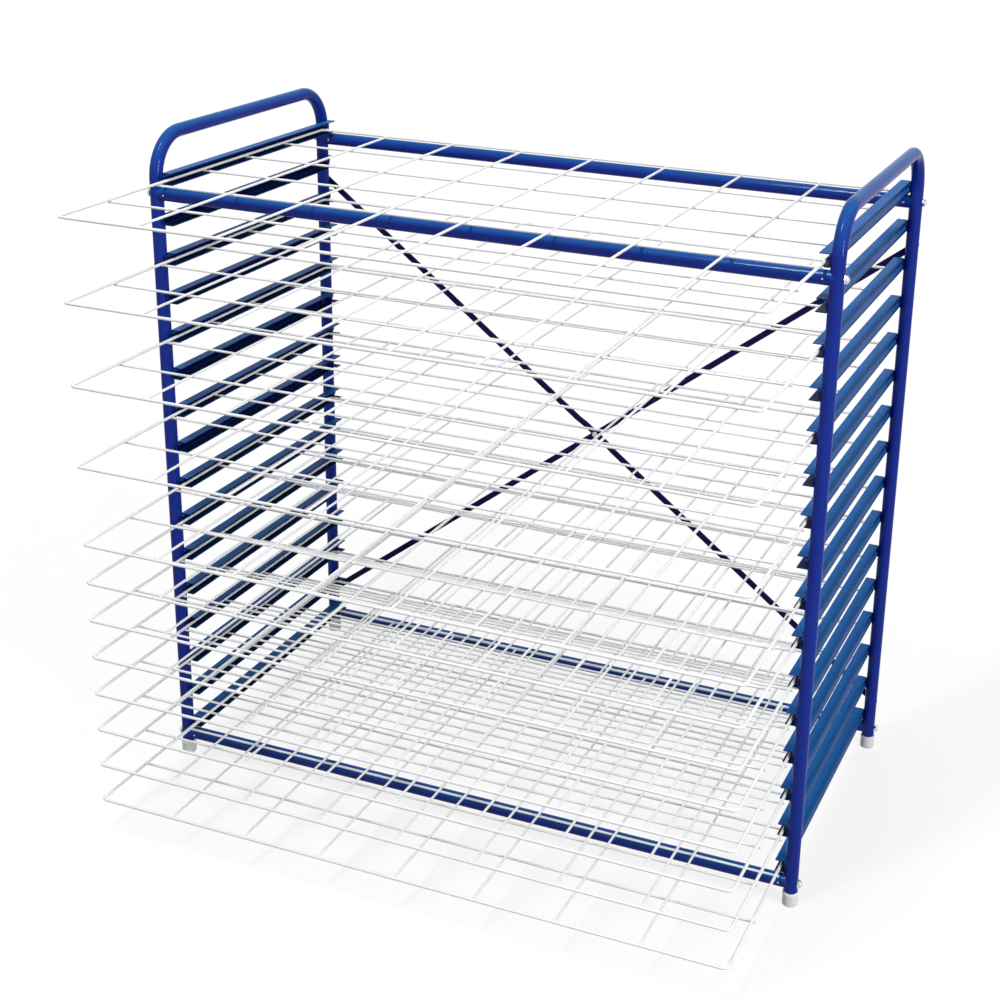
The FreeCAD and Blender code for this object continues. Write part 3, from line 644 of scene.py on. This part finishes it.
def makeShelves():
    tree = makeShelfTree()
    rimHalf = shelf["rimWire"] / 2
    for name in sorted(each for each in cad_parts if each.startswith("shelf_")):
        low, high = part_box(name)
        middle = (low + high) / 2
        middle.z = high.z - rimHalf
        made = runTree("wireShelf" + name[-2:], tree, {
            "Width": high.x - low.x - 2 * (shelf["wireOverrun"] + rimHalf),
            "Depth": high.y - low.y - 2 * rimHalf,
            "Corner": shelf["corner"], "Rim Wire": shelf["rimWire"], "Mesh Wire": shelf["meshWire"],
            "Cells Across": shelf["cellsAcross"], "Cells Deep": shelf["cellsDeep"],
            "Overrun": shelf["wireOverrun"], "Weld Overlap": shelf["weldOverlap"], "Sides": shelf["sides"],
            "Corner Steps": shelf["cornerSteps"], "Nugget": shelf["nugget"], "Middle": middle,
            "Finish": whiteEnamel,
        })
        settle(made, whiteEnamel, name + "_body", [name], smoothAngle=50)


makeShelves()
print("stage: shelves welded")


# Crossbars: coped to the legs, with two crimps at each end on the front that bare the insert's metal.
crossbar = {"radius": rack["tubeRadius"], "sides": 112, "crimps": (0.0046, 0.0107), "crimpDepth": 0.0006,
            "crimpRadius": 0.0017, "crimpPower": 1.5, "fineReach": 0.014, "fineStep": 0.0004,
            "scarRadius": 0.00105, "scarRise": 0.00028, "scarSides": 20,
            "scarShoulder": (0.8, 0.65), "scarCrown": 0.4}


def crossbarPoint(turn, inset, sign):
    radius = crossbar["radius"]
    along, up = -math.cos(turn) * radius, math.sin(turn) * radius
    cope = rack["legAcross"] - math.sqrt(max(0.0, rack["tubeRadius"] ** 2 - along ** 2))
    across = cope - inset
    sunk = 0.0
    for crimp in crossbar["crimps"]:
        away = math.hypot(across - (rack["legAcross"] - rack["tubeRadius"] - crimp), up)
        if along < 0 and away < crossbar["crimpRadius"]:
            bowl = 1 - (away / crossbar["crimpRadius"]) ** 2
            sunk += crossbar["crimpDepth"] * bowl ** crossbar["crimpPower"]
    shrink = 1 - sunk / radius
    return Vector((sign * across, along * shrink, up * shrink))


def makeCrossbars():
    steps = int(crossbar["fineReach"] / crossbar["fineStep"])
    insets = [crossbar["fineStep"] * step for step in range(steps)] + [crossbar["fineReach"] * 2]
    turns = [2 * math.pi * side / crossbar["sides"] for side in range(crossbar["sides"])]
    rings = [[crossbarPoint(turn, inset, -1) for turn in turns] for inset in insets]
    rings += [[crossbarPoint(turn, inset, 1) for turn in turns] for inset in reversed(insets)]
    bar = skinRings("crossbarPart", rings, closeEnds=False)
    for (level, end), spot in rack["bars"].items():
        copy = addObject("%s%sCrossbar" % (level, end.title()), bar.data.copy())
        turnInto(copy, Matrix.Translation(spot))
        settle(copy, blueEnamel, "rack", ["%s_%s_crossbar" % (level, end)])
    bpy.data.objects.remove(bar)


def makeCrimpScars():
    radius, rise = crossbar["scarRadius"], crossbar["scarRise"]
    inward, upward = crossbar["scarShoulder"]
    profile = [(radius, -rise), (radius, 0.0), (radius * inward, rise * upward),
               (radius * crossbar["scarCrown"], rise)]
    part = turnInto(skinRings("scarPart", latheRings(profile, crossbar["scarSides"])),
                    Matrix.Rotation(math.pi / 2, 4, "X"))
    face = Vector((0, crossbar["crimpDepth"] - rack["tubeRadius"], 0))
    places = []
    for spot in rack["bars"].values():
        for sign in (-1, 1):
            for index, crimp in enumerate(crossbar["crimps"]):
                across = Vector((sign * (rack["legAcross"] - rack["tubeRadius"] - crimp), 0, 0))
                places.append((spot + face + across, Vector((0, index, 0))))
    scars = repeatPart("crimpScars", part, places, brightZinc)
    settle(scars, brightZinc, "rack", [], smoothAngle=50)


makeCrossbars()
makeCrimpScars()
print("stage: crossbars coped and crimped")


# Cap nuts: a hexagon whose corners are turned off, under a low dome.
capNut = {"flats": 0.007, "height": 0.0022, "chamfer": 0.0005, "dome": 0.0031, "domeRise": 0.0018,
          "seatShare": 0.94, "chamferShare": 0.9, "rightTurn": 0.35, "leftTurn": 0.8,
          "sides": 48, "domeSteps": 8}


def makeCapNutPart():
    sides = capNut["sides"]
    sixth = math.pi / 3
    profile = [(0.0, capNut["seatShare"]), (0.0, 1.0), (capNut["height"] - capNut["chamfer"], 1.0),
               (capNut["height"], capNut["chamferShare"])]
    rings = []
    for height, share in profile:
        ring = []
        for side in range(sides):
            turn = 2 * math.pi * side / sides
            flat = capNut["flats"] / 2 / math.cos((turn + sixth / 2) % sixth - sixth / 2)
            turned = capNut["flats"] / 2 / math.cos(sixth / 2) * share
            reach = min(flat, turned)
            ring.append(Vector((height, math.cos(turn) * reach, math.sin(turn) * reach)))
        rings.append(ring)
    for step in range(capNut["domeSteps"]):
        swing = math.pi / 2 * step / capNut["domeSteps"]
        height = capNut["height"] + capNut["domeRise"] * math.sin(swing)
        rings.append(circlePoints(Vector((height, 0, 0)), Vector((0, 1, 0)), Vector((0, 0, 1)),
                                  capNut["dome"] * math.cos(swing), sides))
    return skinRings("capNutPart", rings)


def makeCapNuts():
    outside = rack["legAcross"] + rack["tubeRadius"]
    places = []
    for spot in rack["bars"].values():
        places.append((spot + Vector((outside, 0, 0)), Vector((capNut["rightTurn"], 0, 0))))
        places.append((spot - Vector((outside, 0, 0)), Vector((capNut["leftTurn"], 0, math.pi))))
    nuts = repeatPart("capNuts", makeCapNutPart(), places, brightZinc)
    settle(nuts, brightZinc, "rack", ["cap_nuts"])


makeCapNuts()
print("stage: cap nuts turned")


# Brace bars behind the rear legs; the falling one is joggled over the rising one.
brace = {"width": 0.0064, "thickness": 0.002, "endReach": 0.006, "joggleFlat": 0.026, "joggleSlope": 0.014,
         "joggleSteps": 8, "edge": 0.0003, "endSteps": 10, "endLeast": 0.04, "screwHead": 0.0064}


# Heights of the screws that hold the bars to the legs.
def braceEnds():
    return rack["screwHigh"].z - brace["screwHead"] / 2, rack["screwLow"].z + brace["screwHead"] / 2


def easeStep(share):
    share = min(1.0, max(0.0, share))
    return share * share * (3 - 2 * share)


def makeBrace(name, rises, joggled):
    top, foot = braceEnds()
    sway = 1 if rises else -1
    direction = Vector((2 * rack["legAcross"], 0, sway * (top - foot)))
    reach = direction.length / 2 + brace["endReach"]
    direction.normalize()
    upright = Vector((-direction.z, 0, direction.x))
    backward = Vector((0, 1, 0))
    middle = Vector((0, rack["braceFace"], (top + foot) / 2))
    half, thickness = brace["width"] / 2, brace["thickness"]
    swings = [math.pi / 2 * step / brace["endSteps"] for step in range(brace["endSteps"] + 1)]
    rounded = [(reach - half + half * math.sin(swing), half * max(brace["endLeast"], math.cos(swing)))
               for swing in swings]
    flat, slope, slopeSteps = brace["joggleFlat"] / 2, brace["joggleSlope"], brace["joggleSteps"]
    slopes = [flat + slope * step / slopeSteps for step in range(slopeSteps + 1)]
    stations = [(-reachOut, wide) for reachOut, wide in reversed(rounded)]
    stations += [(-along, half) for along in reversed(slopes)] + [(along, half) for along in slopes]
    stations += rounded
    rings = []
    for reachOut, wide in stations:
        lift = 0.0
        if joggled:
            lift = thickness * (1 - easeStep((abs(reachOut) - flat) / slope))
        edge = min(brace["edge"], wide / 2)
        section = [(wide - edge, 0), (wide, edge), (wide, thickness - edge), (wide - edge, thickness)]
        section += [(-across, deep) for across, deep in reversed(section)]
        centre = middle + direction * reachOut + backward * lift
        rings.append([centre + upright * across + backward * deep for across, deep in section])
    bar = skinRings(name + "Bar", rings)
    settle(bar, braceShadedEnamel, "rack", [name + "_brace"], smoothAngle=30)


makeBrace("rising", True, False)
makeBrace("falling", False, True)


# Pan-head screws with a cross recess, and the rivet where the brace bars cross.
panHead = {"radius": 0.0032, "height": 0.002, "rim": 0.0007, "shank": 0.0018, "shankReach": 0.005,
           "tipShare": 0.5, "tipChamfer": 0.0006, "undercut": 0.96, "rimStart": 0.3, "crownLeast": 0.02,
           "recess": 0.0034, "slot": 0.0009, "recessDepth": 0.0012, "recessTaper": 0.45,
           "firstTurn": 0.4, "rivetRim": 0.0004, "sides": 40, "domeSteps": 8}


def domeProfile(radius, rim, height, steps):
    swings = [math.pi / 2 * step / steps for step in range(steps + 1)]
    return [(radius * max(panHead["crownLeast"], math.cos(swing)), rim + (height - rim) * math.sin(swing))
            for swing in swings]


def makeScrewPart():
    radius, shank, tip = panHead["radius"], panHead["shank"], -panHead["shankReach"]
    profile = [(shank * panHead["tipShare"], tip), (shank, tip + panHead["tipChamfer"]), (shank, 0.0),
               (radius * panHead["undercut"], 0.0), (radius, panHead["rim"] * panHead["rimStart"])]
    profile += domeProfile(radius, panHead["rim"], panHead["height"], panHead["domeSteps"])
    head = skinRings("screwPart", latheRings(profile, panHead["sides"]))
    for quarter in (0, 1):
        blade = bmesh.new()
        bmesh.ops.create_cube(blade, size=1.0)
        for corner in blade.verts:
            if corner.co.z < 0:
                corner.co.x *= panHead["recessTaper"]
        size = Vector((panHead["recess"], panHead["slot"], panHead["recessDepth"] * 2))
        lift = Matrix.Translation((0, 0, panHead["height"]))
        swing = Matrix.Rotation(math.pi / 2 * quarter, 4, "Z")
        bmesh.ops.transform(blade, matrix=lift @ swing @ Matrix.Diagonal(size.to_4d()),
                            verts=blade.verts)
        cutter = finishMesh("recessBlade", blade)
        cut = head.modifiers.new("recess", "BOOLEAN")
        cut.object = cutter
        bakeModifiers(head)
        bpy.data.objects.remove(cutter)
    return turnInto(head, Matrix.Rotation(-math.pi / 2, 4, "X"))


def makeBraceScrews():
    top, foot = braceEnds()
    back = rack["braceFace"] + brace["thickness"]
    spots = [(sign * rack["legAcross"], height) for sign in (-1, 1) for height in (top, foot)]
    places = [(Vector((across, back, height)), Vector((0, panHead["firstTurn"] + index, 0)))
              for index, (across, height) in enumerate(spots)]
    screws = repeatPart("braceScrews", makeScrewPart(), places, brightZinc)
    settle(screws, brightZinc, "rack", ["brace_screws"], smoothAngle=40)


def makeBraceRivet():
    bars = 2 * brace["thickness"]
    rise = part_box("brace_rivet")[1].y - rack["braceFace"] - bars
    wide, shank = panHead["radius"], panHead["shank"]
    dome = domeProfile(wide, panHead["rivetRim"], rise, panHead["domeSteps"])
    profile = [(radius, -height) for radius, height in reversed(dome)]
    profile += [(wide, 0.0), (shank, 0.0), (shank, bars), (wide, bars)]
    profile += [(radius, bars + height) for radius, height in dome]
    rivet = skinRings("braceRivet", latheRings(profile, panHead["sides"]))
    middle = Matrix.Translation((0, rack["braceFace"], sum(braceEnds()) / 2))
    turnInto(rivet, middle @ Matrix.Rotation(-math.pi / 2, 4, "X"))
    settle(rivet, brightZinc, "rack", ["brace_rivet"], smoothAngle=40)


makeBraceScrews()
makeBraceRivet()
print("stage: brace bars riveted and screwed")


# Foot caps: moulded cups with a rolled top rim and a softened floor edge.
footCap = {"wall": 0.0009, "rim": 0.0004, "floorEdge": 0.0016, "soleShare": 0.3, "collarLow": 0.72,
           "collarHigh": 0.76, "collarDepth": 0.4, "mouth": 0.003, "sides": 48, "edgeSteps": 6}


def makeFootCaps():
    radius = (rack["footTop"].x - rack["footLow"].x) / 2
    height = rack["footTop"].z
    edge, steps = footCap["floorEdge"], footCap["edgeSteps"]
    swings = [math.pi / 2 * step / steps for step in range(steps + 1)]
    rim, wall = footCap["rim"], footCap["wall"]
    profile = [(radius * footCap["soleShare"], 0.0)]
    profile += [(radius - edge + edge * math.sin(swing), edge - edge * math.cos(swing)) for swing in swings]
    profile += [(radius - rim * footCap["collarDepth"], height * footCap["collarLow"]),
                (radius, height * footCap["collarHigh"]), (radius, height - rim), (radius - rim, height),
                (radius - wall, height), (radius - wall, height - footCap["mouth"])]
    part = skinRings("footPart", latheRings(profile, footCap["sides"]))
    for side, sign in (("left", -1), ("right", 1)):
        for end in ("front", "rear"):
            cap = addObject("%s%sFootCap" % (side, end.title()), part.data.copy())
            turnInto(cap, Matrix.Translation((sign * rack["legAcross"], rack[end + "Leg"], 0)))
            settle(cap, greyNylon, "rack", ["%s_%s_foot_cap" % (side, end)], smoothAngle=50)
    bpy.data.objects.remove(part)


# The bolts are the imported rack's own mesh, with the zinc finish on it.
def plateBolts():
    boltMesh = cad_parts["crossbar_bolts"].data
    boltMesh.materials.clear()
    boltMesh.materials.append(brightZinc)


makeFootCaps()
plateBolts()
print("stage: foot caps fitted, bolts plated")


# Floor, world and lamps.
room = {"floorSize": 30.0, "glowNear": 0.795, "glowFar": 0.948, "glowReach": 4.5, "floorTone": 0.2,
        "ambient": 0.26}


# One for rays that the camera sees, directly or in a reflection, and zero for light on the rack.
def addSight(tree):
    light = addNode(tree, "ShaderNodeLightPath")
    reflected = addMath(tree, "MAXIMUM", light["Is Glossy Ray"], light["Is Transmission Ray"])
    return addMath(tree, "MAXIMUM", light["Is Camera Ray"], reflected)


# The floor glows less near the rack, where the lamps light it, so it is white but for the shadow.
def makeFloor():
    mesh = bmesh.new()
    bmesh.ops.create_grid(mesh, x_segments=1, y_segments=1, size=room["floorSize"] / 2)
    floor = finishMesh("studioFloor", mesh)
    material = bpy.data.materials.new("studioFloor")
    material.use_nodes = True
    tree = material.node_tree
    tree.nodes.clear()
    seen = addSight(tree)
    matt = addNode(tree, "ShaderNodeBsdfDiffuse", {"Color": (room["floorTone"],) * 3 + (1,)})[0]
    reach = addNode(tree, "ShaderNodeVectorMath", {0: addNode(tree, "ShaderNodeTexCoord")["Object"]},
                    operation="LENGTH")["Value"]
    level = addRange(tree, reach, 0.0, room["glowReach"], room["glowNear"], room["glowFar"])
    glow = addNode(tree, "ShaderNodeEmission",
                   {"Color": (1, 1, 1, 1), "Strength": addMath(tree, "MULTIPLY", seen, level)})[0]
    both = addNode(tree, "ShaderNodeAddShader", {0: matt, 1: glow})[0]
    addNode(tree, "ShaderNodeOutputMaterial", {"Surface": both})
    floor.data.materials.append(material)


def makeWorld():
    world = bpy.data.worlds.new("studioWorld")
    bpy.context.scene.world = world
    world.use_nodes = True
    tree = world.node_tree
    tree.nodes.clear()
    seen = addSight(tree)
    strength = addRange(tree, seen, 0.0, 1.0, room["ambient"], 1.0)
    sky = addNode(tree, "ShaderNodeBackground", {"Color": (1, 1, 1, 1), "Strength": strength})[0]
    addNode(tree, "ShaderNodeOutputWorld", {"Surface": sky})


# A lamp that doesn't shine lights the rack without showing as a highlight on its tubes.
lamps = {
    "keySoftbox": {"place": (-0.35, -1.15, 3.1), "target": (0, 0, 0.35), "size": (0.28, 1.1),
                   "power": 56, "shines": True},
    "fillSoftbox": {"place": (2.8, -1.3, 1.2), "target": (0, 0, 0.3), "size": (0.3, 1.2),
                    "power": 61, "shines": True},
    "backSoftbox": {"place": (-1.0, 2.8, 2.0), "target": (0, 0, 0.3), "size": (1.0, 1.0),
                    "power": 26, "shines": False},
}


def addLamp(name, place, target, size, power, shines):
    lamp = bpy.data.lights.new(name, "AREA")
    lamp.shape = "RECTANGLE"
    lamp.size, lamp.size_y = size
    lamp.energy = power
    holder = addObject(name, lamp)
    holder.location = place
    holder.rotation_euler = (Vector(target) - Vector(place)).to_track_quat("-Z", "Y").to_euler()
    holder.visible_glossy = shines


makeFloor()
makeWorld()
for name, lamp in lamps.items():
    addLamp(name, **lamp)
print("stage: studio lit")


# The camera stands to the right of the front and above it.
view = {"azimuth": 21.68, "elevation": 19.69, "roll": 1.45, "place": (0.6341, -1.4107, 0.9662),
        "focalShare": 1.7401, "shiftX": -0.0789, "shiftY": -0.0961, "sensor": 36.0}


def makeCamera():
    azimuth, elevation, roll = (math.radians(view[each]) for each in ("azimuth", "elevation", "roll"))
    ahead = Vector((-math.sin(azimuth) * math.cos(elevation), math.cos(azimuth) * math.cos(elevation),
                    -math.sin(elevation)))
    level = Vector((math.cos(azimuth), math.sin(azimuth), 0))
    raised = level.cross(ahead)
    right = level * math.cos(roll) + raised * math.sin(roll)
    up = raised * math.cos(roll) - level * math.sin(roll)
    lens = bpy.data.cameras.new("studioCamera")
    lens.sensor_width = view["sensor"]
    lens.lens = view["focalShare"] * view["sensor"]
    lens.shift_x, lens.shift_y = view["shiftX"], view["shiftY"]
    camera = addObject("studioCamera", lens)
    turn = Matrix((right, up, -ahead)).transposed().to_4x4()
    camera.matrix_world = Matrix.Translation(view["place"]) @ turn
    bpy.context.scene.camera = camera


makeCamera()
bpy.context.scene.view_settings.view_transform = "Standard"
print("stage: camera set")
